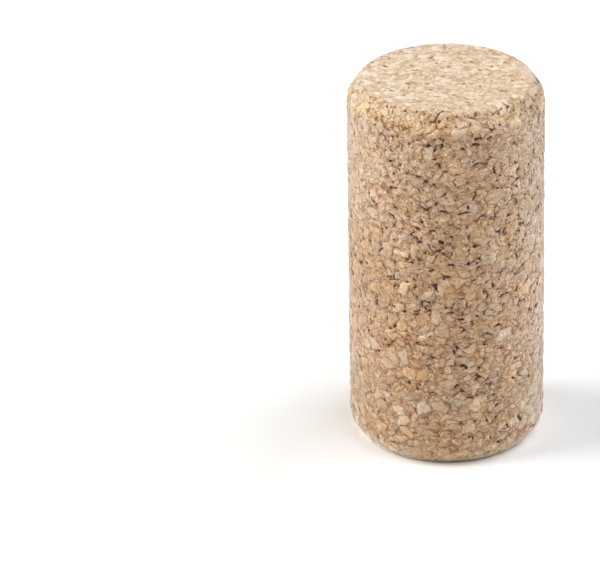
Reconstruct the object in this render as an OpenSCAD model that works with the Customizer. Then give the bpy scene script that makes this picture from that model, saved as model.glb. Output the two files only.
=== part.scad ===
// Agglomerated cork stopper for a still-wine bottle.
// One solid of revolution: cork granules bonded into a rod, cut to length,
// ground to diameter and chamfered at both ends. Millimetres, +Z up.
// The origin is the centre of the lower end face, and the axis is Z.
// Both ends are alike, so the stopper goes into a neck either way up.

/* [Body] */
// Length over the two end faces
stopper_len = 47; // [38:0.5:54]
// Diameter of the side when nothing squeezes it
stopper_d = 24; // [20:0.1:30]

/* [Ends] */
// Chamfer width, measured inward across the end face
chamfer_w = 1.5; // [0.6:0.1:3]
// Chamfer height, measured along the side
chamfer_h = 2; // [0.6:0.1:4]
// Radius that eases the shoulder, where the chamfer meets the side
shoulder_r = 1.5; // [0.2:0.1:2]
// Radius that eases the rim, where the chamfer meets the end face
rim_r = 0.4; // [0.1:0.1:1]

/* [Hidden] */
$fn = 96;

body_r = stopper_d / 2;
slant = sqrt(chamfer_w * chamfer_w + chamfer_h * chamfer_h);
// Angle that the outline turns through at the shoulder and at the rim
shoulder_turn = atan2(chamfer_w, chamfer_h);
rim_turn = 90 - shoulder_turn;
// Each easing may use only its share of the chamfer's slant
shoulder = min(shoulder_r, 0.6 * slant / tan(shoulder_turn / 2));
rim = min(rim_r, 0.3 * slant / tan(rim_turn / 2));
// How far each easing reaches from the sharp corner that it replaces
shoulder_run = shoulder * tan(shoulder_turn / 2);
rim_run = rim * tan(rim_turn / 2);
// Unit direction along the lower chamfer, from rim to shoulder
ux = chamfer_w / slant;
uz = chamfer_h / slant;

// Corner points of the lower end, with both corners cut back to where
// their easings begin and end
end_points = [
    [body_r - chamfer_w - rim_run, 0],
    [body_r - chamfer_w + rim_run * ux, rim_run * uz],
    [body_r - shoulder_run * ux, chamfer_h - shoulder_run * uz],
    [body_r, chamfer_h + shoulder_run],
];

// Lower half of the outline: a polygon whose two cut corners are
// filled by the round easings
module half_outline() {
    polygon(concat([[0, 0]], end_points, [[body_r, stopper_len / 2], [0, stopper_len / 2]]));
    translate([body_r - shoulder, chamfer_h + shoulder_run]) circle(r = shoulder);
    translate([body_r - chamfer_w - rim_run, rim]) circle(r = rim);
}

// The stopper: the outline and its mirror image, turned about Z
module stopper() {
    color("burlywood")
        rotate_extrude()
            union() {
                half_outline();
                translate([0, stopper_len]) mirror([0, 1]) half_outline();
            }
}

stopper();
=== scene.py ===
import math

import bpy
import numpy as np
from mathutils import Matrix, Vector


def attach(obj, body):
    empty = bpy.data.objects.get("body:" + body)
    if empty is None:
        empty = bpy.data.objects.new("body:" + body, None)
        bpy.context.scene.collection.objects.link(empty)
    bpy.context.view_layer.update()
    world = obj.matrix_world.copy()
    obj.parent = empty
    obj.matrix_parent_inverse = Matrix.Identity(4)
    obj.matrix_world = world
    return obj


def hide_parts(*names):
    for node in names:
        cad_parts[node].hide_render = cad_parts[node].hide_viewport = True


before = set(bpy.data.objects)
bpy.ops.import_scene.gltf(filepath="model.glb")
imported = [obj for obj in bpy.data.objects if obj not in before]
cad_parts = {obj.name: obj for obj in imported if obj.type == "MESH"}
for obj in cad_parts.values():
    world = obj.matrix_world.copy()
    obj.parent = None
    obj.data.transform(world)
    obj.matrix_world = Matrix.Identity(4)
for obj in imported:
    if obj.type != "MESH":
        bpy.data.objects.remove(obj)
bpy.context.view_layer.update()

MM = 0.001
scene = bpy.context.scene
scene.view_settings.view_transform = "Standard"
scene.view_settings.look = "None"

# ---------------------------------------------------------------- camera
right = Vector((0.99983782, -0.00800456, -0.01613231))
down = Vector((-0.01800901, -0.44440311, -0.89564589))
ahead = Vector((0.0, 0.8957913, -0.4444752))
cam_data = bpy.data.cameras.new("camera")
cam_data.sensor_fit = "AUTO"
cam_data.sensor_width = 36.0
cam_data.lens = 303.224
cam_data.clip_start, cam_data.clip_end = 0.01, 20.0
camera = bpy.data.objects.new("camera", cam_data)
scene.collection.objects.link(camera)
turn = Matrix((right, -down, -ahead)).transposed()
camera.matrix_world = Matrix.Translation(Vector((-0.018045552, -0.557725056, 0.295055503))) @ turn.to_4x4()
scene.camera = camera


# ---------------------------------------------------------------- node helper
class Net:
    """Adds nodes to a shader or a geometry tree. Sockets, numbers and triples may all be given as inputs."""

    def __init__(self, tree):
        self.tree = tree

    def put(self, socket, value):
        if value is None:
            return
        if isinstance(value, bpy.types.NodeSocket):
            self.tree.links.new(value, socket)
        elif isinstance(value, (tuple, list)):
            for i, v in enumerate(value):
                socket.default_value[i] = v
        else:
            socket.default_value = value

    def node(self, kind, **settings):
        n = self.tree.nodes.new(kind)
        for k, v in settings.items():
            setattr(n, k, v)
        return n

    def math(self, op, a, b=None, c=None, clamp=False):
        n = self.node("ShaderNodeMath", operation=op, use_clamp=clamp)
        for s, v in zip(n.inputs, (a, b, c)):
            self.put(s, v)
        return n.outputs[0]

    def add(self, a, b): return self.math("ADD", a, b)
    def sub(self, a, b): return self.math("SUBTRACT", a, b)
    def mul(self, a, b): return self.math("MULTIPLY", a, b)
    def div(self, a, b): return self.math("DIVIDE", a, b)
    def low(self, a, b): return self.math("MINIMUM", a, b)
    def high(self, a, b): return self.math("MAXIMUM", a, b)

    def vec(self, op, a, b=None, c=None, scale=None):
        n = self.node("ShaderNodeVectorMath", operation=op)
        self.put(n.inputs[0], a)
        if b is not None:
            self.put(n.inputs[1], b)
        if c is not None:
            self.put(n.inputs[2], c)
        if scale is not None:
            self.put(n.inputs["Scale"], scale)
        return n.outputs["Value"] if op in ("LENGTH", "DISTANCE", "DOT_PRODUCT") else n.outputs["Vector"]

    def step(self, x, a, b, to0=0.0, to1=1.0, smooth=True):
        n = self.node("ShaderNodeMapRange", interpolation_type="SMOOTHSTEP" if smooth else "LINEAR", clamp=True)
        for s, v in zip(n.inputs, (x, a, b, to0, to1)):
            self.put(s, v)
        return n.outputs[0]

    def noise(self, vec, size, detail=2.0, rough=0.5, seed=(0, 0, 0), color=False, distort=0.0):
        """Noise whose features are about size long, in the vector's own unit; about -0.5 to 0.5 round 0 with color, 0 to 1 without."""
        v = self.vec("ADD", vec, seed)
        n = self.node("ShaderNodeTexNoise", noise_dimensions="3D")
        self.put(n.inputs["Vector"], v)
        self.put(n.inputs["Scale"], 1.0 / size)
        self.put(n.inputs["Detail"], detail)
        self.put(n.inputs["Roughness"], rough)
        self.put(n.inputs["Distortion"], distort)
        if color:
            return self.vec("SUBTRACT", n.outputs["Color"], (0.5, 0.5, 0.5))
        return n.outputs[0]

    def cells(self, vec, size, feature="F1", randomness=1.0, smooth=None, flat=False):
        n = self.node("ShaderNodeTexVoronoi", voronoi_dimensions="2D" if flat else "3D", feature=feature)
        self.put(n.inputs["Vector"], vec)
        self.put(n.inputs["Scale"], 1.0 / size)
        self.put(n.inputs["Randomness"], randomness)
        if smooth is not None:
            self.put(n.inputs["Smoothness"], smooth)
        return n

    def pick(self, fac, a, b):
        """a where fac is 0, b where it is 1, for numbers."""
        n = self.node("ShaderNodeMix", data_type="FLOAT", clamp_factor=True)
        self.put(n.inputs[0], fac); self.put(n.inputs[2], a); self.put(n.inputs[3], b)
        return n.outputs[0]

    def pickv(self, fac, a, b):
        n = self.node("ShaderNodeMix", data_type="VECTOR", factor_mode="UNIFORM", clamp_factor=True)
        self.put(n.inputs[0], fac); self.put(n.inputs[4], a); self.put(n.inputs[5], b)
        return n.outputs[1]

    def tint(self, fac, a, b, blend="MIX"):
        n = self.node("ShaderNodeMix", data_type="RGBA", blend_type=blend, clamp_factor=True, clamp_result=False)
        self.put(n.inputs[0], fac)
        self.put(n.inputs[6], a if isinstance(a, bpy.types.NodeSocket) else tuple(a) + (1.0,))
        self.put(n.inputs[7], b if isinstance(b, bpy.types.NodeSocket) else tuple(b) + (1.0,))
        return n.outputs[2]

    def parts(self, vec):
        n = self.node("ShaderNodeSeparateXYZ")
        self.put(n.inputs[0], vec)
        return n.outputs[0], n.outputs[1], n.outputs[2]

    def ramp(self, fac, stops, mode="LINEAR"):
        n = self.node("ShaderNodeValToRGB")
        n.color_ramp.interpolation = mode
        e = n.color_ramp.elements
        while len(e) > 1:
            e.remove(e[-1])
        e[0].position, e[0].color = stops[0][0], tuple(stops[0][1]) + (1.0,)
        for at, col in stops[1:]:
            el = e.new(at)
            el.color = tuple(col) + (1.0,)
        self.put(n.inputs[0], fac)
        return n.outputs[0]


# ---------------------------------------------------------------- granule pattern
# Every length below is in millimetres. The same nodes place the pits and
# grooves of the mesh and colour its surface, so the two always agree.
L, R = 47.0, 12.0
CHAMFER_W, CHAMFER_H, SHOULDER, RIM = 1.5, 2.0, 1.5, 0.4
FLAT_R = 10.3


# pits and slits, listed where this cork has them: start, end, half width, in mm
PITS = [
    ((-1.76, -10.93, 46.23), (-0.65, -9.65, 47.00), 0.160),
    ((-2.12, -10.95, 46.12), (-1.64, -10.94, 46.24), 0.195),
    ((-8.85, -8.11, 44.63), (-8.85, -8.11, 44.63), 0.146),
    ((-7.03, -9.72, 44.67), (-7.03, -9.72, 44.67), 0.134),
    ((-1.80, -11.86, 44.11), (-1.68, -11.88, 44.18), 0.134),
    ((-2.51, -11.73, 43.35), (-2.39, -11.75, 43.42), 0.183),
    ((-1.80, -11.86, 42.80), (-1.75, -11.87, 42.87), 0.134),
    ((-1.93, -11.84, 41.62), (-1.63, -11.88, 41.70), 0.146),
    ((-1.46, -11.91, 41.11), (-1.04, -11.95, 41.00), 0.098),
    ((-1.04, -11.95, 41.00), (-1.10, -11.95, 40.60), 0.110),
    ((-10.17, -6.38, 40.97), (-10.17, -6.38, 40.97), 0.110),
    ((-7.58, -9.30, 41.94), (-7.53, -9.34, 41.76), 0.110),
    ((2.90, -11.64, 40.64), (3.56, -11.46, 40.87), 0.122),
    ((3.56, -11.46, 40.87), (4.53, -11.11, 40.69), 0.085),
    ((5.38, -10.72, 39.97), (5.51, -10.65, 39.27), 0.171),
    ((4.71, -11.03, 43.93), (5.02, -10.89, 44.06), 0.146),
    ((3.14, -11.57, 44.08), (3.81, -11.37, 44.24), 0.122),
    ((2.51, -11.05, 45.88), (2.51, -11.17, 45.73), 0.134),
    ((6.12, -10.02, 45.34), (6.12, -10.10, 45.24), 0.134),
    ((0.84, -11.37, 45.80), (0.83, -11.44, 45.70), 0.098),
    ((-7.03, -9.72, 37.17), (-6.86, -9.84, 37.09), 0.159),
    ((2.23, -11.78, 35.38), (2.23, -11.79, 35.12), 0.195),
    ((3.20, -11.56, 36.71), (2.78, -11.67, 36.11), 0.110),
    ((5.63, -10.59, 38.12), (5.88, -10.46, 38.12), 0.110),
    ((8.04, -8.90, 36.69), (8.23, -8.72, 36.40), 0.122),
    ((8.10, -8.84, 38.31), (8.48, -8.49, 38.67), 0.122),
    ((1.41, -11.91, 43.16), (1.70, -11.87, 42.87), 0.110),
    ((-2.33, -11.77, 32.15), (-1.73, -11.87, 32.25), 0.110),
    ((-3.71, -11.41, 30.53), (-3.35, -11.52, 30.65), 0.183),
    ((-1.14, -11.94, 30.81), (-0.78, -11.97, 30.75), 0.195),
    ((0.06, -12.00, 31.34), (0.36, -11.99, 31.40), 0.146),
    ((-2.63, -11.70, 30.45), (-1.86, -11.85, 29.24), 0.079),
    ((-1.86, -11.85, 29.24), (-0.78, -11.97, 29.88), 0.079),
    ((-6.62, -10.01, 30.32), (-6.50, -10.08, 30.21), 0.134),
    ((-4.59, -11.08, 31.53), (-4.53, -11.11, 31.41), 0.134),
    ((-8.41, -8.56, 28.11), (-8.05, -8.89, 28.60), 0.122),
    ((-10.35, -6.07, 28.76), (-10.06, -6.54, 28.64), 0.110),
    ((-0.62, -11.98, 26.14), (0.05, -12.00, 26.20), 0.159),
    ((-0.74, -11.97, 25.73), (-0.56, -11.98, 26.00), 0.146),
    ((6.50, -10.08, 30.89), (6.69, -9.96, 31.50), 0.146),
    ((7.18, -9.61, 33.12), (7.31, -9.51, 33.00), 0.146),
    ((8.20, -8.76, 27.47), (8.33, -8.64, 26.94), 0.134),
    ((-3.33, -11.53, 22.53), (-3.27, -11.54, 22.20), 0.171),
    ((-4.18, -11.24, 21.19), (-3.58, -11.45, 21.42), 0.110),
    ((1.06, -11.95, 20.29), (1.60, -11.89, 20.25), 0.134),
    ((6.14, -10.30, 22.48), (6.77, -9.91, 22.74), 0.085),
    ((6.77, -9.91, 22.74), (7.52, -9.35, 22.58), 0.085),
    ((-10.46, -5.87, 23.67), (-10.34, -6.08, 23.70), 0.122),
    ((-7.25, -9.55, 24.74), (-6.18, -10.28, 25.00), 0.085),
    ((6.02, -10.37, 24.87), (6.39, -10.15, 25.90), 0.079),
    ((0.85, -11.97, 11.45), (0.98, -11.95, 11.30), 0.134),
    ((4.17, -11.25, 16.48), (4.42, -11.15, 16.56), 0.110),
    ((-6.92, -9.80, 21.27), (-6.57, -10.04, 21.25), 0.110),
    ((8.59, -8.38, 5.07), (8.85, -8.10, 4.50), 0.220),
    ((4.54, -11.10, 6.10), (4.61, -11.08, 5.81), 0.122),
    ((1.60, -11.89, 18.69), (1.84, -11.86, 18.81), 0.146),
    ((0.44, -11.99, 16.18), (0.62, -11.98, 15.70), 0.146),
    ((1.96, -11.84, 13.82), (2.02, -11.82, 13.54), 0.171),
    ((6.22, -10.25, 11.55), (6.54, -10.06, 12.06), 0.085),
    ((7.67, -9.22, 10.92), (7.93, -9.00, 10.66), 0.159),
    ((5.35, -10.73, 9.48), (5.48, -10.68, 9.17), 0.146),
    ((2.14, -11.80, 9.62), (2.69, -11.69, 9.48), 0.122),
    ((3.80, -11.38, 8.61), (3.80, -11.38, 8.61), 0.110),
    ((4.98, -10.91, 3.71), (5.04, -10.89, 3.48), 0.122),
    ((5.80, -10.50, 2.64), (6.11, -10.33, 2.61), 0.146),
    ((2.75, -11.68, 4.09), (2.81, -11.67, 3.67), 0.110),
    ((2.38, -11.76, 4.35), (2.37, -11.76, 4.00), 0.098),
    ((-7.26, -7.69, 46.90), (-7.17, -7.77, 46.89), 0.110),
    ((-6.79, -8.03, 46.98), (-6.74, -8.09, 46.97), 0.104),
    ((-6.64, -8.68, 46.42), (-6.57, -8.58, 46.57), 0.122),
    ((-5.21, -9.16, 46.94), (-5.03, -9.08, 47.00), 0.134),
    ((-3.80, -9.78, 46.99), (-3.73, -9.30, 47.00), 0.134),
    ((-8.92, -6.72, 46.10), (-8.86, -6.74, 46.15), 0.110),
    ((-9.58, -6.44, 45.60), (-9.52, -6.43, 45.68), 0.104),
    ((-5.55, -10.27, 45.42), (-5.51, -10.21, 45.52), 0.104),
    ((-5.33, -10.75, 44.98), (-5.29, -10.77, 44.99), 0.110),
    ((-10.26, -6.22, 43.28), (-10.23, -6.26, 43.38), 0.104),
    ((5.98, -9.22, 46.35), (6.04, -9.10, 46.43), 0.134),
    ((7.39, -8.40, 46.08), (7.45, -8.31, 46.11), 0.134),
    ((8.88, -7.08, 45.85), (8.94, -6.98, 45.87), 0.122),
    ((8.73, -7.74, 45.43), (8.79, -7.65, 45.45), 0.110),
    ((6.24, -8.72, 46.71), (6.30, -8.63, 46.76), 0.110),
    ((9.18, -5.81, 46.52), (9.21, -5.89, 46.42), 0.110),
]
# brown flecks and folds, placed the same way
FLECKS = [
    ((-7.86, -9.06, 36.88), (-7.04, -9.72, 36.64), 0.427),
    ((-9.21, -7.69, 31.32), (-8.50, -8.47, 31.28), 0.220),
    ((8.01, -8.93, 27.96), (8.26, -8.70, 27.17), 0.195),
    ((-1.14, -11.94, 30.54), (-0.78, -11.97, 30.41), 0.274),
    ((-4.00, -11.31, 30.96), (-3.53, -11.46, 30.62), 0.244),
    ((-0.40, -11.99, 38.11), (-0.40, -11.99, 37.84), 0.232),
    ((-9.18, -7.72, 33.74), (-9.53, -7.28, 33.94), 0.183),
    ((-2.95, -10.92, 45.92), (-1.98, -10.34, 46.95), 0.091),
    ((-6.57, -8.55, 46.62), (-6.12, -7.38, 47.00), 0.091),
    ((-11.34, -1.12, 45.80), (-10.74, -1.93, 46.44), 0.104),
    ((-10.74, -1.93, 46.44), (-10.52, -2.97, 46.42), 0.104),
    ((-9.24, -5.07, 46.94), (-8.53, -5.53, 47.00), 0.098),
    ((-8.53, -5.53, 47.00), (-8.90, -6.04, 46.65), 0.085),
    ((-8.60, -3.32, 47.00), (-8.25, -3.63, 47.00), 0.146),
    ((-9.79, -2.68, 47.00), (-9.63, -3.57, 47.00), 0.122),
    ((-8.77, -7.80, 45.34), (-8.41, -7.73, 45.77), 0.116),
    ((-8.01, -8.34, 45.57), (-7.62, -9.27, 44.94), 0.159),
    ((-8.72, -7.93, 45.27), (-8.25, -8.51, 45.20), 0.116),
    ((-6.62, -10.00, 44.80), (-6.27, -10.23, 44.63), 0.110),
    ((-11.14, -3.27, 45.51), (-10.78, -3.51, 45.88), 0.104),
    ((-11.30, 1.13, 45.86), (-10.94, 0.50, 46.39), 0.098),
    ((-7.70, -6.00, 47.00), (-7.37, -7.03, 47.00), 0.091),
    ((-7.16, -8.29, 46.38), (-6.92, -8.30, 46.58), 0.098),
    ((-9.75, -6.05, 45.69), (-9.39, -6.30, 45.92), 0.146),
    ((-4.10, -9.73, 46.91), (-2.19, -9.72, 47.00), 0.067),
    ((-2.19, -9.72, 47.00), (-1.70, -9.17, 47.00), 0.067),
    ((-6.23, -9.06, 46.32), (-5.76, -9.46, 46.23), 0.085),
    ((-0.41, -9.80, 47.00), (0.29, -10.11, 47.00), 0.134),
    ((5.06, -9.75, 46.34), (6.17, -8.84, 46.63), 0.104),
    ((7.49, -8.74, 45.65), (8.12, -7.93, 45.86), 0.085),
    ((7.65, -7.92, 46.32), (7.76, -7.94, 46.19), 0.183),
    ((1.61, -9.75, 47.00), (1.81, -9.31, 47.00), 0.098),
    ((4.34, -9.87, 46.61), (4.58, -9.92, 46.43), 0.134),
    ((1.88, -10.48, 46.80), (1.93, -10.69, 46.51), 0.085),
    ((6.92, -8.18, 46.71), (7.17, -7.95, 46.73), 0.098),
    ((8.48, -5.39, 47.00), (8.84, -5.26, 47.00), 0.098),
    ((7.47, -6.52, 47.00), (7.79, -7.45, 46.63), 0.073),
    ((2.54, -8.71, 47.00), (2.76, -8.43, 47.00), 0.110),
]
# brown marks on the upper end face
MARKS = [
    ((-1.71, 5.94, 47.00), (-1.39, 6.26, 47.00), 0.216),
    ((-0.99, 4.52, 47.00), (-0.91, 4.34, 47.00), 0.188),
    ((-4.08, 3.91, 47.00), (-3.89, 3.75, 47.00), 0.159),
    ((-3.82, 2.37, 47.00), (-3.45, 2.53, 47.00), 0.174),
    ((-4.71, -1.46, 47.00), (-4.48, -1.76, 47.00), 0.216),
    ((-3.45, 6.65, 47.00), (-3.33, 6.56, 47.00), 0.146),
    ((3.24, 4.79, 47.00), (3.40, 4.33, 47.00), 0.174),
    ((4.20, 2.10, 47.00), (4.29, 1.98, 47.00), 0.174),
    ((4.07, -0.64, 47.00), (4.16, -0.69, 47.00), 0.174),
    ((4.04, -2.56, 47.00), (4.03, -2.90, 47.00), 0.174),
    ((0.66, -5.10, 47.00), (0.84, -5.20, 47.00), 0.159),
    ((-1.52, -5.39, 47.00), (-0.87, -5.65, 47.00), 0.131),
    ((5.67, 3.33, 47.00), (5.71, 2.87, 47.00), 0.159),
    ((5.14, 2.27, 47.00), (5.43, 1.95, 47.00), 0.131),
    ((1.99, 7.17, 47.00), (2.06, 7.04, 47.00), 0.146),
    ((-4.50, -2.56, 47.00), (-4.42, -2.68, 47.00), 0.146),
    ((1.47, -5.73, 47.00), (1.56, -5.91, 47.00), 0.117),
    ((2.39, -6.46, 47.00), (2.57, -6.44, 47.00), 0.117),
    ((-7.36, 3.91, 47.00), (-7.12, 3.59, 47.00), 0.174),
    ((-8.13, -1.13, 47.00), (-7.95, -1.02, 47.00), 0.159),
    ((-6.68, -3.41, 47.00), (-6.45, -3.56, 47.00), 0.174),
    ((-6.76, 6.14, 47.00), (-6.58, 6.01, 47.00), 0.146),
    ((7.22, 4.15, 47.00), (7.47, 4.35, 47.00), 0.159),
    ((7.90, -0.95, 47.00), (7.99, -1.13, 47.00), 0.188),
    ((6.37, -4.28, 47.00), (6.74, -4.05, 47.00), 0.146),
    ((-3.42, -6.77, 47.00), (-3.12, -6.87, 47.00), 0.146),
    ((3.73, 8.13, 47.00), (3.97, 7.99, 47.00), 0.146),
    ((0.39, 3.26, 47.00), (0.51, 3.14, 47.00), 0.174),
    ((1.90, -1.87, 47.00), (2.20, -1.97, 47.00), 0.159),
    ((-0.55, 0.31, 47.00), (-0.20, 0.18, 47.00), 0.131),
    ((-5.30, 8.10, 47.00), (-5.12, 8.04, 47.00), 0.131),
    ((-2.31, -1.69, 47.00), (-2.15, -1.57, 47.00), 0.174),
    ((2.18, -7.36, 47.00), (2.54, -7.26, 47.00), 0.131),
    ((7.00, 0.40, 47.00), (7.11, 0.28, 47.00), 0.159),
]


def nearest(points, table):
    """The number of the stroke that lies nearest to each point."""
    best, which = np.full(len(points), 1e9), np.zeros(len(points), dtype=int)
    for k, (a, b, half) in enumerate(table):
        a, b = np.array(a), np.array(b)
        off, along = points - a, b - a
        share = np.clip(off @ along / max(along @ along, 1e-9), 0.0, 1.0)
        d = np.linalg.norm(off - share[:, None] * along, axis=1) - half
        m = d < best
        best[m], which[m] = d[m], k
    return which


def gap(points, up, table, which):
    """Distance from each point to the edge of its stroke, along the surface whose normal is up."""
    a, b = (np.array([row[c] for row in table])[which] for c in (0, 1))
    half = np.array([row[2] for row in table])[which]
    off, along = points - a, b - a
    share = np.clip((off * along).sum(1) / np.maximum((along * along).sum(1), 1e-9), 0.0, 1.0)
    off = off - share[:, None] * along
    flat = off - up * (off * up).sum(1)[:, None]
    return np.maximum(np.linalg.norm(flat, axis=1) - half, np.linalg.norm(off, axis=1) - 0.7)


def stroke(n, name, here, up):
    """The same distance in nodes, from the stroke that the face's attributes name."""
    a = n.node("ShaderNodeAttribute", attribute_name=name + "_a").outputs["Vector"]
    b = n.node("ShaderNodeAttribute", attribute_name=name + "_b").outputs["Vector"]
    half = n.node("ShaderNodeAttribute", attribute_name=name + "_half").outputs["Fac"]
    off, along = n.vec("SUBTRACT", here, a), n.vec("SUBTRACT", b, a)
    share = n.math("DIVIDE", n.vec("DOT_PRODUCT", off, along), n.vec("DOT_PRODUCT", along, along), clamp=True)
    off = n.vec("SUBTRACT", off, n.vec("SCALE", along, scale=share))
    flat = n.vec("SUBTRACT", off, n.vec("SCALE", up, scale=n.vec("DOT_PRODUCT", off, up)))
    return n.high(n.sub(n.vec("LENGTH", flat), half), n.sub(n.vec("LENGTH", off), 0.7))


def turned(n, v, axis, degrees):
    r = n.node("ShaderNodeVectorRotate", rotation_type="AXIS_ANGLE")
    n.put(r.inputs["Vector"], v)
    n.put(r.inputs["Axis"], axis)
    n.put(r.inputs["Angle"], math.radians(degrees))
    return r.outputs[0]


def pattern(n, p):
    """The cork's granules at the place p, in millimetres. Returns a dictionary of sockets."""
    x, y, z = n.parts(p)
    rad = n.math("SQRT", n.add(n.mul(x, x), n.mul(y, y)))
    # face is 1 on the end faces, chamfer is 1 on the chamfers, and both are 0 on the side
    from_end = n.low(z, n.sub(L, z))
    ragged = n.mul(n.sub(n.noise(p, 0.9, 2.0, 0.5, (3.0, 1.0, 2.0)), 0.5), 1.0)
    face = n.mul(n.step(from_end, 0.30, 0.02), n.step(n.add(rad, n.mul(ragged, 1.5)), 11.0, 9.8))
    chamfer = n.mul(n.step(n.add(from_end, ragged), 2.7, 1.8), n.sub(1.0, face))
    calm = n.high(face, n.mul(n.step(n.add(from_end, n.mul(ragged, 1.2)), 1.7, 0.1), 0.65))
    out = {"face": face, "chamfer": chamfer, "calm": calm}

    # the granules lie a little flatter than they are wide
    p = n.vec("MULTIPLY", p, (0.93, 0.93, 1.09))
    # bend the space so that no edge is straight and neighbours differ in size
    big = n.noise(p, 2.2, 1.0, 0.5, (11.3, 4.1, 7.7), color=True)
    mid = n.noise(p, 0.6, 1.5, 0.55, (3.1, 14.1, 27.7), color=True)
    fine = n.noise(p, 0.22, 1.5, 0.6, (31.1, 1.1, 9.2), color=True)
    w = n.vec("ADD", p, n.vec("SCALE", big, scale=1.4))
    w = n.vec("ADD", w, n.vec("SCALE", mid, scale=0.42))
    w = n.vec("ADD", w, n.vec("SCALE", fine, scale=0.14))

    # fewer large granules on the chamfers and towards the upper end
    quiet = n.mul(n.step(x, -6.0, -11.0), n.step(z, 24.0, 33.0))     # the left of the side is drawn even: larger granules and calmer relief, with fewer dark joints and a cooler, less saturated tone that are painted light for the flank's frontal lamp and sheen
    share = n.mul(n.sub(1.0, n.mul(chamfer, 0.2)), n.add(n.step(z, 10.0, 34.0, 1.30, 1.0), n.mul(quiet, 0.25)))

    def layer(size, axis, angle, stretch, shift, keep):
        """One size of granule: distance to the edge, three random numbers, the granule's own slant, and whether it lies on top."""
        v = turned(n, w, axis, angle)
        v = n.vec("ADD", n.vec("MULTIPLY", v, stretch), shift)
        c = n.cells(v, size)
        e = n.cells(v, size, "DISTANCE_TO_EDGE")
        dist = n.mul(e.outputs["Distance"], size)
        rnd = c.outputs["Color"]
        r, g, b = n.parts(rnd)
        away = n.vec("SUBTRACT", v, c.outputs["Position"])
        lean = n.vec("DOT_PRODUCT", away, n.vec("SUBTRACT", n.vec("FRACTION", n.vec("SCALE", rnd, scale=7.31)), (0.5, 0.5, 0.5)))
        most = n.sub(1.0, n.mul(share, keep))
        kept = n.math("GREATER_THAN", n.math("FRACT", n.mul(r, 3.77)), most) if keep < 1 else None
        return dist, rnd, lean, kept

    dA, cA, lA, kA = layer(1.50, (1.0, 0.3, 0.2), 20.0, (1.0, 1.0, 0.90), (5.0, 2.0, 8.0), 0.20)
    dB, cB, lB, kB = layer(1.20, (0.2, 1.0, 0.1), 35.0, (0.85, 0.85, 1.40), (15.0, 22.0, 1.0), 0.32)
    dC, cC, lC, kC = layer(1.00, (0.7, 0.2, 1.0), 65.0, (1.25, 0.80, 1.0), (4.0, 31.0, 17.0), 0.42)
    dD, cD, lD, kD = layer(0.66, (1.0, 1.0, 0.0), 30.0, (1.0, 1.0, 1.0), (35.0, 12.0, 3.0), 0.62)
    dE, cE, lE, kE = layer(0.44, (0.0, 1.0, 1.0), 50.0, (1.0, 1.0, 1.0), (27.0, 6.0, 41.0), 1.0)
    d, lean, ids, crumbs = n.mul(dE, 1.1), n.mul(lE, 1.6), cE, 1.0
    for k, (dd, ll, cc, kk) in enumerate(((dD, lD, cD, kD), (dC, lC, cC, kC), (dB, lB, cB, kB), (dA, lA, cA, kA))):
        d = n.pick(kk, d, n.mul(dd, (1.0, 0.9, 0.9, 0.9)[k]))
        lean = n.pick(kk, lean, n.mul(ll, (1.3, 1.0, 1.0, 1.0)[k]))
        ids = n.pickv(kk, ids, n.vec("FRACTION", n.vec("ADD", cc, ((0.83, 0.31, 0.17), (0.11, 0.53, 0.29), (0.37, 0.0, 0.61), (0.71, 0.23, 0.47))[k])))
        crumbs = n.pick(kk, crumbs, (0.6, 0.0, 0.0, 0.0)[k])
    out["edge"] = d                       # distance to the granule's edge
    out["id"] = ids                       # three random numbers, the same all over a granule
    out["lean"] = lean
    out["crumbs"] = crumbs                # 1 in the small stuff between the larger granules

    # how far the joint between granules stands open here: in patches, and along a few long seams
    seam = n.mul(n.cells(n.vec("ADD", w, (61.0, 8.0, 27.0)), 4.2, "DISTANCE_TO_EDGE").outputs["Distance"], 4.2)
    gape = n.noise(p, 0.75, 2.0, 0.62, (71.0, 5.0, 13.0))
    gape = n.add(gape, n.mul(n.sub(n.noise(p, 3.0, 1.0, 0.5, (7.0, 51.0, 3.0)), 0.5), 0.14))
    gape = n.add(gape, n.step(seam, 0.45, 0.05, 0.0, 0.075))
    out["gape"] = gape
    # a joint swells to a small hole here and there, and is thin in between
    knot = n.mul(n.cells(n.vec("ADD", w, (13.0, 77.0, 5.0)), 0.85, "DISTANCE_TO_EDGE").outputs["Distance"], 0.85)
    gape = n.sub(gape, n.sub(n.mul(face, 0.045), n.mul(chamfer, 0.012)))
    gape = n.add(gape, n.step(z, 8.0, 32.0, -0.035, 0.0))
    gape = n.add(gape, n.mul(n.step(x, 8.0, 3.0, 0.0, 0.018), n.mul(n.step(z, 12.0, 20.0), n.step(z, 36.0, 28.0))))
    gape = n.sub(gape, n.step(z, 37.0, 43.0, 0.0, 0.022))
    gape = n.sub(gape, n.step(y, -1.0, -6.0, 0.0, 0.010))
    out["quiet"] = quiet
    # painted light: fewer dark joints on the left flank stand for its washed-out frontal light
    gape = n.sub(gape, n.mul(quiet, 0.045))
    width = n.mul(n.step(gape, 0.56, 0.80, 0.01, 0.165), n.step(knot, 0.24, 0.02, 0.20, 1.40))
    out["crack"] = n.mul(n.step(d, n.add(width, 0.045), n.mul(width, 0.55)), n.step(gape, 0.57, 0.65))
    out["halo"] = n.mul(n.step(d, 0.34, 0.05), n.step(gape, 0.52, 0.68))
    out["line"] = n.step(d, n.add(n.step(z, 8.0, 30.0, 0.165, 0.12), n.mul(face, 0.15)), 0.02)
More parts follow.
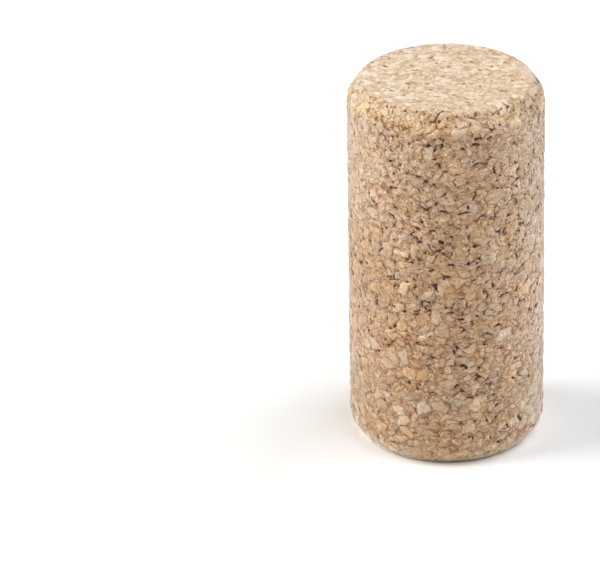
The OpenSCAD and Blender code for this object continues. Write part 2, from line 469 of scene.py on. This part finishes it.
    # soft lumps inside a granule, and the crumbs that a cut cork shows
    out["grain"] = n.noise(w, 0.36, 3.0, 0.72, (2.0, 2.0, 2.0))
    sub = n.cells(n.vec("ADD", w, n.vec("SCALE", fine, scale=0.10)), 0.40)
    out["crumb"] = n.parts(sub.outputs["Color"])[0]
    out["lump"] = n.mul(sub.outputs["Distance"], 0.40)
    out["cloud"] = n.noise(w, 1.0, 3.0, 0.6, (52.0, 17.0, 33.0))
    out["grit"] = n.noise(w, 0.26, 1.5, 0.5, (9.0, 33.0, 5.0))
    out["swirl"] = n.noise(w, 2.2, 2.0, 0.55, (19.0, 83.0, 41.0))
    out["honey"] = n.noise(w, 1.5, 2.0, 0.55, (23.0, 7.0, 57.0))
    out["region"] = n.noise(p, 5.0, 1.0, 0.5, (2.0, 67.0, 3.0))
    # wrinkles, which run another way in each granule
    spin = n.node("ShaderNodeVectorRotate", rotation_type="AXIS_ANGLE")
    n.put(spin.inputs["Vector"], w)
    n.put(spin.inputs["Axis"], n.vec("SUBTRACT", ids, (0.5, 0.5, 0.5)))
    n.put(spin.inputs["Angle"], n.mul(n.math("FRACT", n.mul(n.parts(ids)[0], 13.7)), 6.28))
    fold = n.vec("ADD", n.vec("MULTIPLY", spin.outputs[0], (1.0, 1.0, 3.0)), n.vec("SCALE", ids, scale=37.0))
    out["wrinkle"] = n.noise(fold, 0.60, 2.0, 0.6)

    # what makes the outlines of the listed pits ragged
    out["jitter"] = n.vec("ADD", n.vec("SCALE", mid, scale=0.35), n.vec("SCALE", fine, scale=0.28))

    # small round pores
    pv = n.vec("ADD", n.vec("ADD", p, n.vec("SCALE", mid, scale=0.5)), (7.0, 3.0, 91.0))
    pc = n.cells(pv, 0.95)
    pr, pg, pb = n.parts(pc.outputs["Color"])
    size = n.step(pr, 0.62, 1.0, 0.06, 0.19)
    pd = n.mul(pc.outputs["Distance"], 0.95)
    out["pore"] = n.mul(n.step(n.sub(pd, size), 0.045, -0.045), n.mul(n.step(pr, 0.62, 0.64), n.mul(n.sub(1.0, n.mul(face, 0.6)), n.step(y, -6.0, -1.0))))
    # specks of cavity, most of them in the joints
    sc = n.cells(n.vec("ADD", n.vec("ADD", p, n.vec("SCALE", mid, scale=0.3)), (41.0, 9.0, 63.0)), 0.42)
    sr, sg, sb = n.parts(sc.outputs["Color"])
    sd = n.sub(n.mul(sc.outputs["Distance"], 0.42), n.step(sr, 0.40, 1.0, 0.04, 0.115))
    deepness = n.mul(n.step(sg, 0.0, 1.0, 0.35, 1.0), n.step(d, 0.26, 0.10, 0.30, 1.0))
    out["speck"] = n.mul(n.mul(n.step(sd, 0.045, -0.045), n.step(sr, 0.40, 0.45)), n.mul(deepness, n.sub(1.0, n.mul(face, 0.7))))
    # brown marks on the end faces
    mv = n.vec("ADD", n.vec("ADD", p, n.vec("SCALE", mid, scale=1.6)), n.vec("SCALE", fine, scale=0.5))
    mx, my, mz = n.parts(mv)
    flat = n.node("ShaderNodeCombineXYZ")
    n.put(flat.inputs[0], n.add(mx, n.mul(z, 0.7))); n.put(flat.inputs[1], n.add(my, n.mul(z, 1.3)))
    mc = n.cells(flat.outputs[0], 2.1, flat=True)
    mr, mg, mb = n.parts(mc.outputs["Color"])
    md = n.sub(n.mul(mc.outputs["Distance"], 2.1), n.step(mr, 0.50, 1.0, 0.12, 0.34))
    out["mark"] = n.mul(n.mul(n.step(md, 0.06, -0.06), n.step(mr, 0.50, 0.51)), n.mul(n.mul(face, n.step(z, 30.0, 20.0)), n.step(mg, 0.0, 1.0, 0.55, 1.0)))
    return out


def relief(n, p, t):
    """Height of the surface, in millimetres."""
    r, g, b = n.parts(t["id"])
    soft = n.sub(1.0, n.mul(0.82, t["calm"]))
    h = n.mul(b, -0.05)
    h = n.add(h, n.mul(t["lean"], 0.15))
    h = n.sub(h, n.mul(n.step(t["edge"], 0.28, 0.0), 0.085))
    h = n.sub(h, n.mul(t["lump"], 0.10))
    h = n.sub(h, n.mul(t["crumbs"], 0.035))
    h = n.sub(h, n.mul(n.sub(t["grain"], 0.5), n.add(0.10, n.mul(0.12, t["chamfer"]))))
    h = n.mul(h, soft)
    h = n.sub(h, n.mul(t["crack"], n.sub(0.20, n.mul(0.13, t["face"]))))
    h = n.sub(h, n.mul(t["pore"], 0.15))
    h = n.sub(h, n.mul(t["mark"], 0.06))
    return h


# ---------------------------------------------------------------- mesh
COLS = 330                                    # points round the side
PITCH = 0.2                                   # mm between rows


def outline():
    """(radius, height, arc length) rows from the lower rim to the upper rim."""
    pts = []
    a0 = math.atan2(CHAMFER_H, CHAMFER_W)     # slope of the lower chamfer, from the face
    def arc(cx, cy, r, t0, t1, n):
        for i in range(n + 1):
            t = t0 + (t1 - t0) * i / n
            pts.append((cx + r * math.sin(t), cy - r * math.cos(t)))
    arc(FLAT_R, RIM, RIM, 0.0, a0, 24)
    arc(R - SHOULDER, 2.5, SHOULDER, a0, math.pi / 2, 48)
    half = np.array(pts)
    mid = np.array([[R, 0.5 * L]])
    top = half[::-1].copy(); top[:, 1] = L - top[:, 1]
    line = np.concatenate([half, mid, top])
    s = np.concatenate([[0], np.cumsum(np.hypot(*np.diff(line, axis=0).T))])
    n = int(round(s[-1] / PITCH))
    n += n % 2
    at = np.linspace(0, s[-1], n + 1)
    r = np.interp(at, s, line[:, 0]); z = np.interp(at, s, line[:, 1])
    # outward normals from the fine line
    tr = np.gradient(np.interp(np.linspace(0, s[-1], 4001), s, line[:, 0]))
    tz = np.gradient(np.interp(np.linspace(0, s[-1], 4001), s, line[:, 1]))
    nr, nz = tz, -tr
    q = np.hypot(nr, nz)
    nr = np.interp(at, np.linspace(0, s[-1], 4001), nr / q)
    nz = np.interp(at, np.linspace(0, s[-1], 4001), nz / q)
    return r, z, nr, nz, at


def build_grid():
    """Vertices, normals, triangles and a UV for each triangle corner."""
    r, z, nr, nz, at = outline()
    rows = len(r)
    K = COLS // 6
    pos, nor = [], []
    tris, uvs = [], []
    SPAN = 76.5                                   # mm that the unit square holds
    # wall: rows 0 .. rows-1, odd rows turned by half a column
    wall0 = 0
    for j in range(rows):
        a = (np.arange(COLS) + (0.5 if j % 2 else 0.0)) * 2 * math.pi / COLS
        pos.append(np.stack([r[j] * np.cos(a), r[j] * np.sin(a), np.full(COLS, z[j])], 1))
        m = math.hypot(nr[j], nz[j])
        nor.append(np.stack([nr[j] / m * np.cos(a), nr[j] / m * np.sin(a), np.full(COLS, nz[j] / m)], 1))
    ringlen = 2 * math.pi * R
    def wuv(j, i, half):
        return (0.004 + (i + half) / (COLS + 0.5) * (ringlen / SPAN), 0.004 + at[j] / SPAN)
    i = np.arange(COLS)
    for j in range(rows - 1):
        a0, a1 = j * COLS, (j + 1) * COLS
        i2 = (i + 1) % COLS
        if j % 2 == 0:     # lower row straight, upper row shifted by +0.5
            t1 = np.stack([a0 + i, a0 + i2, a1 + i], 1)
            t2 = np.stack([a0 + i2, a1 + i2, a1 + i], 1)
            u1 = [(i, 0, j), (i + 1, 0, j), (i, 0.5, j + 1)]
            u2 = [(i + 1, 0, j), (i + 1, 0.5, j + 1), (i, 0.5, j + 1)]
        else:              # lower row shifted
            t1 = np.stack([a0 + i, a1 + i2, a1 + i], 1)
            t2 = np.stack([a0 + i, a0 + i2, a1 + i2], 1)
            u1 = [(i, 0.5, j), (i + 1, 0, j + 1), (i, 0, j + 1)]
            u2 = [(i, 0.5, j), (i + 1, 0.5, j), (i + 1, 0, j + 1)]
        for t, u in ((t1, u1), (t2, u2)):
            tris.append(t)
            uvs.append(np.stack([np.stack([0.004 + (q + h) / (COLS + 0.5) * (ringlen / SPAN), np.full(COLS, 0.004 + at[jj] / SPAN)], 1) for q, h, jj in u], 1))
    count = rows * COLS
    # end faces: rings of 6k points, the last one shared with the wall's first or last row
    disc_v = 0.012 + at[-1] / SPAN + FLAT_R / SPAN
    for end, row, zz, nz_, cu in ((0, 0, 0.0, -1.0, 0.01 + FLAT_R / SPAN), (1, rows - 1, L, 1.0, 0.03 + 3 * FLAT_R / SPAN)):
        off = 0.5 if row % 2 else 0.0
        ring_start = {}
        p_, n_ = [np.array([[0, 0, zz]])], [np.array([[0, 0, nz_]])]
        ring_start[0] = count
        c = count + 1
        for k in range(1, K):
            a = (np.arange(6 * k) / (6 * k) + off / COLS) * 2 * math.pi
            rr = FLAT_R * k / K
            p_.append(np.stack([rr * np.cos(a), rr * np.sin(a), np.full(6 * k, zz)], 1))
            n_.append(np.tile([0, 0, nz_], (6 * k, 1)))
            ring_start[k] = c
            c += 6 * k
        pos += p_; nor += n_
        count = c
        def idx(k, i):
            if k == 0:
                return np.full_like(i, ring_start[0])
            if k == K:
                return row * COLS + i % (6 * K)
            return ring_start[k] + i % (6 * k)
        T = []
        for k in range(1, K + 1):
            for sct in range(6):
                jn = np.arange(k)
                T.append(np.stack([idx(k, sct * k + jn), idx(k, sct * k + jn + 1), idx(k - 1, sct * (k - 1) + jn)], 1))
                if k > 1:
                    jm = np.arange(k - 1)
                    T.append(np.stack([idx(k, sct * k + jm + 1), idx(k - 1, sct * (k - 1) + jm + 1), idx(k - 1, sct * (k - 1) + jm)], 1))
        T = np.concatenate(T)
        if end == 0:
            T = T[:, ::-1]
        P = np.concatenate(pos)
        xy = P[T][:, :, :2]
        tris.append(T)
        sgn = -1.0 if end == 0 else 1.0
        uvs.append(np.stack([cu + sgn * xy[:, :, 0] / SPAN, disc_v + xy[:, :, 1] / SPAN], 2))
    P = np.concatenate(pos).astype(float)
    N = np.concatenate(nor).astype(float)
    T = np.concatenate(tris)
    U = np.concatenate(uvs)
    return P, N, T, U


def field(points, make):
    """Evaluates make(net, position in mm), a number or several, at points in mm, with Blender's own texture nodes."""
    me = bpy.data.meshes.new("probe")
    me.vertices.add(len(points))
    me.vertices.foreach_set("co", (np.asarray(points, dtype=np.float32)).ravel())
    me.update()
    ob = bpy.data.objects.new("probe", me)
    scene.collection.objects.link(ob)
    tree = bpy.data.node_groups.new("probe", "GeometryNodeTree")
    tree.interface.new_socket("Geometry", in_out="INPUT", socket_type="NodeSocketGeometry")
    tree.interface.new_socket("Geometry", in_out="OUTPUT", socket_type="NodeSocketGeometry")
    gi, go = tree.nodes.new("NodeGroupInput"), tree.nodes.new("NodeGroupOutput")
    n = Net(tree)
    place = n.node("GeometryNodeInputPosition").outputs[0]
    made = make(n, place)
    flow = gi.outputs[0]
    for name, sock in made.items():
        st = n.node("GeometryNodeStoreNamedAttribute", data_type="FLOAT", domain="POINT")
        st.inputs["Name"].default_value = name
        tree.links.new(flow, st.inputs["Geometry"])
        tree.links.new(sock, st.inputs["Value"])
        flow = st.outputs[0]
    tree.links.new(flow, go.inputs[0])
    m = ob.modifiers.new("probe", "NODES")
    m.node_group = tree
    dg = bpy.context.evaluated_depsgraph_get()
    got = ob.evaluated_get(dg).to_mesh()
    out = {}
    for name in made:
        a = np.empty(len(points), dtype=np.float32)
        got.attributes[name].data.foreach_get("value", a)
        out[name] = a
    ob.evaluated_get(dg).to_mesh_clear()
    bpy.data.objects.remove(ob)
    bpy.data.meshes.remove(me)
    bpy.data.node_groups.remove(tree)
    return out


P, N, T, U = build_grid()
print("vertices", len(P), "triangles", len(T))

# average the relief over the patch that each vertex stands for
ref = np.where(np.abs(N[:, 2:3]) > 0.9, [[1.0, 0.0, 0.0]], [[0.0, 0.0, 1.0]])
ta = np.cross(N, ref); ta /= np.linalg.norm(ta, axis=1)[:, None]
tb = np.cross(N, ta)
spots = [(0, 0)] + [(0.075 * math.cos(k * math.pi / 3), 0.075 * math.sin(k * math.pi / 3)) for k in range(6)]
many = np.concatenate([P + ta * u + tb * v for u, v in spots])


def heights(n, p):
    t = pattern(n, p)
    jx, jy, jz = n.parts(t["jitter"])
    return {"h": relief(n, p, t), "jx": jx, "jy": jy, "jz": jz}


got = field(many, heights)
jitter = np.stack([got["jx"], got["jy"], got["jz"]], 1)
up = np.tile(N, (len(spots), 1))
middle = P[T].mean(1)


def blot(table):
    """1 inside the strokes of the table and 0 outside, at the points in many."""
    d = gap(many + jitter, up, table, np.tile(nearest(P, table), len(spots)))
    d = np.clip((0.06 - d) / 0.12, 0.0, 1.0)
    return d * d * (3.0 - 2.0 * d)


h = (got["h"] - 0.16 * blot(PITS) - 0.10 * blot(MARKS)).reshape(len(spots), -1).mean(0)
print("relief mm", h.min(), np.percentile(h, [1, 5, 25, 50, 75, 99]), h.max())
side = np.abs(N[:, 2]) < 0.1
h = np.minimum(h - np.percentile(h[side], 80), 0.05)
h[N[:, 2] < -0.5] = np.minimum(h[N[:, 2] < -0.5], 0.0)
moved = P + N * h[:, None]

me = bpy.data.meshes.new("stopper_cork")
me.vertices.add(len(P))
me.vertices.foreach_set("co", (moved * MM).astype(np.float32).ravel())
me.loops.add(len(T) * 3)
me.loops.foreach_set("vertex_index", T.astype(np.int32).ravel())
me.polygons.add(len(T))
me.polygons.foreach_set("loop_start", (np.arange(len(T)) * 3).astype(np.int32))
me.polygons.foreach_set("loop_total", np.full(len(T), 3, dtype=np.int32))
me.update(calc_edges=True)
me.validate()
me.polygons.foreach_set("use_smooth", np.ones(len(T), dtype=bool))
rest = me.attributes.new("rest", "FLOAT_VECTOR", "POINT")
rest.data.foreach_set("vector", P.astype(np.float32).ravel())
me.attributes.new("up", "FLOAT_VECTOR", "POINT").data.foreach_set("vector", N.astype(np.float32).ravel())
for name, table in (("pit", PITS), ("fleck", FLECKS), ("mark", MARKS)):
    which = nearest(middle, table)
    for part, column in (("_a", 0), ("_b", 1)):
        data = np.array([row[column] for row in table], dtype=np.float32)
        if part == "_b":
            data[:, 0] += 0.001
        me.attributes.new(name + part, "FLOAT_VECTOR", "FACE").data.foreach_set("vector", data[which].ravel())
    data = np.array([row[2] for row in table], dtype=np.float32)
    me.attributes.new(name + "_half", "FLOAT", "FACE").data.foreach_set("value", data[which])
uvl = me.uv_layers.new(name="OFBake")
uvl.uv.foreach_set("vector", U.astype(np.float32).reshape(-1, 2).ravel())
me.update()
cork = bpy.data.objects.new("stopper_cork", me)
scene.collection.objects.link(cork)

# ---------------------------------------------------------------- cork material
mat = bpy.data.materials.new("cork")
mat.use_nodes = True
tree = mat.node_tree
tree.nodes.clear()
n = Net(tree)
surface = n.node("ShaderNodeOutputMaterial")
bsdf = n.node("ShaderNodeBsdfPrincipled")
tree.links.new(bsdf.outputs[0], surface.inputs[0])
att = n.node("ShaderNodeAttribute", attribute_name="rest")
p = att.outputs["Vector"]
t = pattern(n, p)
up = n.node("ShaderNodeAttribute", attribute_name="up").outputs["Vector"]
here = n.vec("ADD", p, n.vec("SUBTRACT", t["jitter"], n.vec("SCALE", up, scale=n.vec("DOT_PRODUCT", up, t["jitter"]))))
pit = n.step(stroke(n, "pit", here, up), 0.06, -0.06)
fleck = n.step(stroke(n, "fleck", here, up), 0.12, -0.10)
mark = n.high(t["mark"], n.step(stroke(n, "mark", here, up), 0.08, -0.08))
r, g, b = n.parts(t["id"])
body = n.ramp(r, [
    (0.00, (0.435, 0.255, 0.142)),
    (0.03, (0.524, 0.343, 0.207)),
    (0.07, (0.587, 0.417, 0.276)),
    (0.50, (0.640, 0.470, 0.323)),
    (0.88, (0.686, 0.521, 0.374)),
    (1.00, (0.735, 0.578, 0.428)),
])
cast = n.ramp(g, [(0.0, (1.065, 0.98, 0.84)), (0.5, (1.0, 1.0, 1.0)), (1.0, (0.955, 1.01, 1.08))])
body = n.tint(n.mul(n.step(n.parts(p)[2], 10.0, 40.0), 0.25), body, (0.640, 0.467, 0.328))
col = n.tint(n.step(n.parts(p)[2], 20.0, 42.0, 1.0, 0.75), body, cast, "MULTIPLY")
# painted light: the left flank's cooler, less saturated tone stands for its frontal lamp and sheen
col = n.tint(t["quiet"], col, n.tint(1.0, col, (0.955, 0.995, 1.025), "MULTIPLY"))
col = n.tint(n.step(n.parts(p)[2], 22.0, 8.0), col, n.tint(1.0, col, (0.95, 0.985, 1.01), "MULTIPLY"))
# broad patches are a little more golden or more grey
region = n.step(t["region"], 0.30, 0.70)
col = n.tint(region, n.tint(1.0, col, (1.03, 1.01, 0.97), "MULTIPLY"), n.tint(1.0, col, (0.97, 0.98, 1.01), "MULTIPLY"))
# the small stuff between the granules is yellower
col = n.tint(t["crumbs"], col, n.tint(1.0, col, (1.03, 1.0, 0.89), "MULTIPLY"))
# honey coloured patches, and one browner area low on the front left: partly the cork's own tone, partly painted shade
# and warm bounce light from a neighbouring cork
px, py, pz = n.parts(p)
honey = n.mul(n.step(t["honey"], 0.47, 0.60), n.step(pz, 16.0, 40.0, 1.0, 0.65))
honey = n.mul(honey, n.add(0.25, n.mul(0.75, n.high(t["crumbs"], n.step(t["edge"], 0.30, 0.06)))))
col = n.tint(honey, col, n.tint(1.0, col, (0.985, 0.915, 0.79), "MULTIPLY"))
# painted shade and warm bounce light from a neighbouring cork, partly the cork's own browner tone, on the front only
brown = n.mul(n.mul(n.step(px, 6.0, -3.0), n.step(py, 2.0, -6.0)), n.step(pz, 34.0, 24.0))
col = n.tint(brown, col, n.tint(1.0, col, (0.93, 0.89, 0.84), "MULTIPLY"))
# low on the left flank a browner tint: partly the cork's own tone, partly painted shade and warm bounce light from a
# neighbouring cork
left = n.mul(n.step(px, -5.0, -9.5), n.mul(n.step(pz, 35.0, 29.0), n.step(pz, 18.0, 24.0)))
col = n.tint(left, col, n.tint(1.0, col, (0.905, 0.87, 0.785), "MULTIPLY"))
crisp = n.step(n.parts(p)[2], 4.0, 44.0, 0.0, 1.0)     # the cork is crisper towards its upper end
fine_tone = n.add(n.mul(crisp, 0.62), 0.64)
grain = n.step(n.add(n.mul(n.sub(t["grain"], 0.5), fine_tone), 0.5), 0.345, 0.655)
col = n.tint(grain, n.tint(1.0, col, (1.09, 1.11, 1.13), "MULTIPLY"), n.tint(1.0, col, (0.85, 0.765, 0.68), "MULTIPLY"))
plain = n.mul(n.sub(1.0, n.mul(n.sub(1.0, t["crumbs"]), 0.25)), n.mul(n.sub(1.0, n.mul(t["calm"], 0.7)), n.sub(1.0, n.mul(t["quiet"], 0.5))))
fold = n.step(n.add(n.mul(n.sub(t["wrinkle"], 0.5), plain), 0.5), 0.38, 0.62)
col = n.tint(fold, n.tint(1.0, col, (1.07, 1.08, 1.09), "MULTIPLY"), n.tint(1.0, col, (0.885, 0.825, 0.77), "MULTIPLY"))
crumb = n.ramp(t["crumb"], [(0.0, (0.85, 0.80, 0.74)), (0.25, (0.955, 0.935, 0.92)), (0.75, (1.02, 1.03, 1.045)), (1.0, (1.14, 1.17, 1.20))])
col = n.tint(n.mul(fine_tone, 0.7), col, n.tint(1.0, col, crumb, "MULTIPLY"))
grit = n.step(t["grit"], 0.39, 0.61)
col = n.tint(n.mul(t["chamfer"], 0.45), col, n.tint(1.0, col, crumb, "MULTIPLY"))
gritted = n.tint(grit, n.tint(1.0, col, (1.16, 1.17, 1.18), "MULTIPLY"), n.tint(1.0, col, (0.84, 0.81, 0.78), "MULTIPLY"))
col = n.tint(n.sub(fine_tone, 0.44), col, gritted)
# broader tones from one granule to the next towards the lower end
tone = n.ramp(b, [(0.0, (0.86, 0.835, 0.81)), (0.6, (1.0, 1.0, 1.0)), (1.0, (1.17, 1.20, 1.225))])
col = n.tint(n.sub(1.0, crisp), col, n.tint(1.0, col, tone, "MULTIPLY"))
# sanded end faces are paler and calmer, with tan clouds
cloud = n.step(n.add(t["cloud"], n.mul(n.sub(t["swirl"], 0.5), 0.8)), 0.43, 0.66)
cream = n.ramp(b, [(0.0, (0.54, 0.405, 0.26)), (0.10, (0.61, 0.483, 0.334)), (0.45, (0.693, 0.584, 0.440)), (1.0, (0.764, 0.676, 0.545))])
cream = n.tint(cloud, n.tint(1.0, cream, (1.03, 1.045, 1.06), "MULTIPLY"), n.tint(1.0, cream, (0.89, 0.83, 0.75), "MULTIPLY"))
cream = n.tint(0.55, cream, n.tint(1.0, cream, crumb, "MULTIPLY"))
cream = n.tint(grit, n.tint(1.0, cream, (1.065, 1.07, 1.075), "MULTIPLY"), n.tint(1.0, cream, (0.93, 0.91, 0.885), "MULTIPLY"))
col = n.tint(t["calm"], col, n.tint(n.step(r, 0.03, 0.06, 0.15, 0.70), col, cream))
# the turned chamfers are a little more golden
golden = n.mul(t["chamfer"], n.sub(1.0, t["calm"]))
col = n.tint(n.mul(golden, 0.5), col, n.tint(1.0, cream, (1.0, 0.965, 0.90), "MULTIPLY"))
col = n.tint(golden, col, n.tint(1.0, col, (1.11, 1.095, 1.09), "MULTIPLY"))
col = n.tint(n.mul(golden, n.step(t["honey"], 0.47, 0.60)), col, n.tint(1.0, col, (1.0, 0.90, 0.73), "MULTIPLY"))
line = n.mul(t["line"], n.step(t["gape"], 0.43, 0.57, n.step(n.parts(p)[2], 12.0, 32.0, 0.55, 0.22), 1.0))
line = n.mul(line, n.sub(1.0, n.mul(t["crumbs"], 0.40)))
col = n.tint(line, col, n.tint(1.0, col, n.tint(t["calm"], (0.55, 0.395, 0.295), (0.74, 0.585, 0.425)), "MULTIPLY"))
halo = n.mul(t["halo"], 0.75)
col = n.tint(halo, col, n.tint(1.0, col, (0.955, 0.755, 0.53), "MULTIPLY"))
col = n.tint(fleck, col, n.tint(1.0, col, (0.67, 0.49, 0.32), "MULTIPLY"))
dark = n.high(n.high(n.high(t["crack"], t["pore"]), n.mul(t["speck"], 0.85)), pit)
deep = n.tint(n.high(n.step(t["gape"], 0.57, 0.72), pit), (0.205, 0.082, 0.036), (0.085, 0.024, 0.008))
deep = n.tint(n.mul(t["face"], n.sub(1.0, pit)), deep, (0.36, 0.165, 0.06))
deep = n.tint(t["chamfer"], deep, (0.125, 0.042, 0.010))
col = n.tint(n.mul(dark, n.sub(1.0, n.mul(t["chamfer"], 0.2))), col, deep)
col = n.tint(n.mul(mark, n.step(t["grit"], 0.30, 0.60, 1.0, 0.85)), col, n.tint(grain, (0.25, 0.105, 0.026), (0.12, 0.042, 0.010)))
n.put(bsdf.inputs["Base Color"], col)
n.put(bsdf.inputs["Roughness"], n.pick(dark, 0.72, 0.95))
n.put(bsdf.inputs["Specular IOR Level"], 0.4)
n.put(bsdf.inputs["Sheen Weight"], 0.7)
n.put(bsdf.inputs["Sheen Roughness"], 0.4)
bump = n.node("ShaderNodeBump")
fine = n.noise(p, 0.15, 2.0, 0.55, (6.0, 6.0, 6.0))
hgt = n.add(n.mul(fine, 0.045), n.mul(t["line"], -0.05))
hgt = n.sub(hgt, n.mul(t["grain"], 0.075))
hgt = n.sub(hgt, n.mul(n.mul(t["wrinkle"], plain), 0.15))
hgt = n.sub(hgt, n.mul(dark, 0.08))
hgt = n.mul(hgt, n.mul(n.pick(crisp, 0.55, 1.25), n.mul(n.sub(1.0, n.mul(t["calm"], 0.5)), n.sub(1.0, n.mul(t["quiet"], 0.4)))))
n.put(bump.inputs["Height"], hgt)
n.put(bump.inputs["Distance"], 0.001)
n.put(bump.inputs["Strength"], 1.0)
n.put(bsdf.inputs["Normal"], bump.outputs[0])
cork.data.materials.append(mat)

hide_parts("stopper")
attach(cork, "root")

# ---------------------------------------------------------------- floor and lights
fl = bpy.data.meshes.new("floor")
fl.from_pydata([(-1.5, -1.5, 0), (1.5, -1.5, 0), (1.5, 1.5, 0), (-1.5, 1.5, 0)], [], [(0, 1, 2, 3)])
floor = bpy.data.objects.new("floor", fl)
scene.collection.objects.link(floor)
fm = bpy.data.materials.new("floor")
fm.use_nodes = True
fb = fm.node_tree.nodes["Principled BSDF"]
fb.inputs["Base Color"].default_value = (0.88, 0.88, 0.88, 1.0)
fb.inputs["Roughness"].default_value = 0.9
fb.inputs["Specular IOR Level"].default_value = 0.1
fl.materials.append(fm)


MID = Vector((0.0, 0.0, 0.0235))


def area(name, azimuth, elevation, distance, size, watts, color=(1.0, 1.0, 1.0)):
    """A soft box. Azimuth is counted from the camera's own, to the camera's right."""
    d = bpy.data.lights.new(name, "AREA")
    d.shape = "RECTANGLE"
    d.size, d.size_y = size
    d.energy = watts
    d.color = color
    o = bpy.data.objects.new(name, d)
    scene.collection.objects.link(o)
    a = math.atan2(camera.location.y, camera.location.x) + math.radians(azimuth)
    e = math.radians(elevation)
    v = Vector((math.cos(a) * math.cos(e), math.sin(a) * math.cos(e), math.sin(e)))
    o.location = MID + v * distance
    o.rotation_mode = "QUATERNION"
    o.rotation_quaternion = v.to_track_quat("Z", "Y")
    return o


area("left", -87, 35, 1.5, (1.0, 1.0), 28.6, (0.99, 0.995, 0.97))
area("right", 95, 35, 1.5, (1.0, 1.0), 7.0, (0.95, 1.0, 1.06))
area("right_back", 120, 35, 1.5, (1.0, 1.0), 10.4, (0.95, 1.0, 1.06))
area("upper_right", 45, 60, 1.5, (1.0, 1.0), 10.8)
world = bpy.data.worlds.new("world")
world.use_nodes = True
world.node_tree.nodes["Background"].inputs[0].default_value = (1.0, 1.0, 1.0, 1.0)
world.node_tree.nodes["Background"].inputs[1].default_value = 0.02
scene.world = world
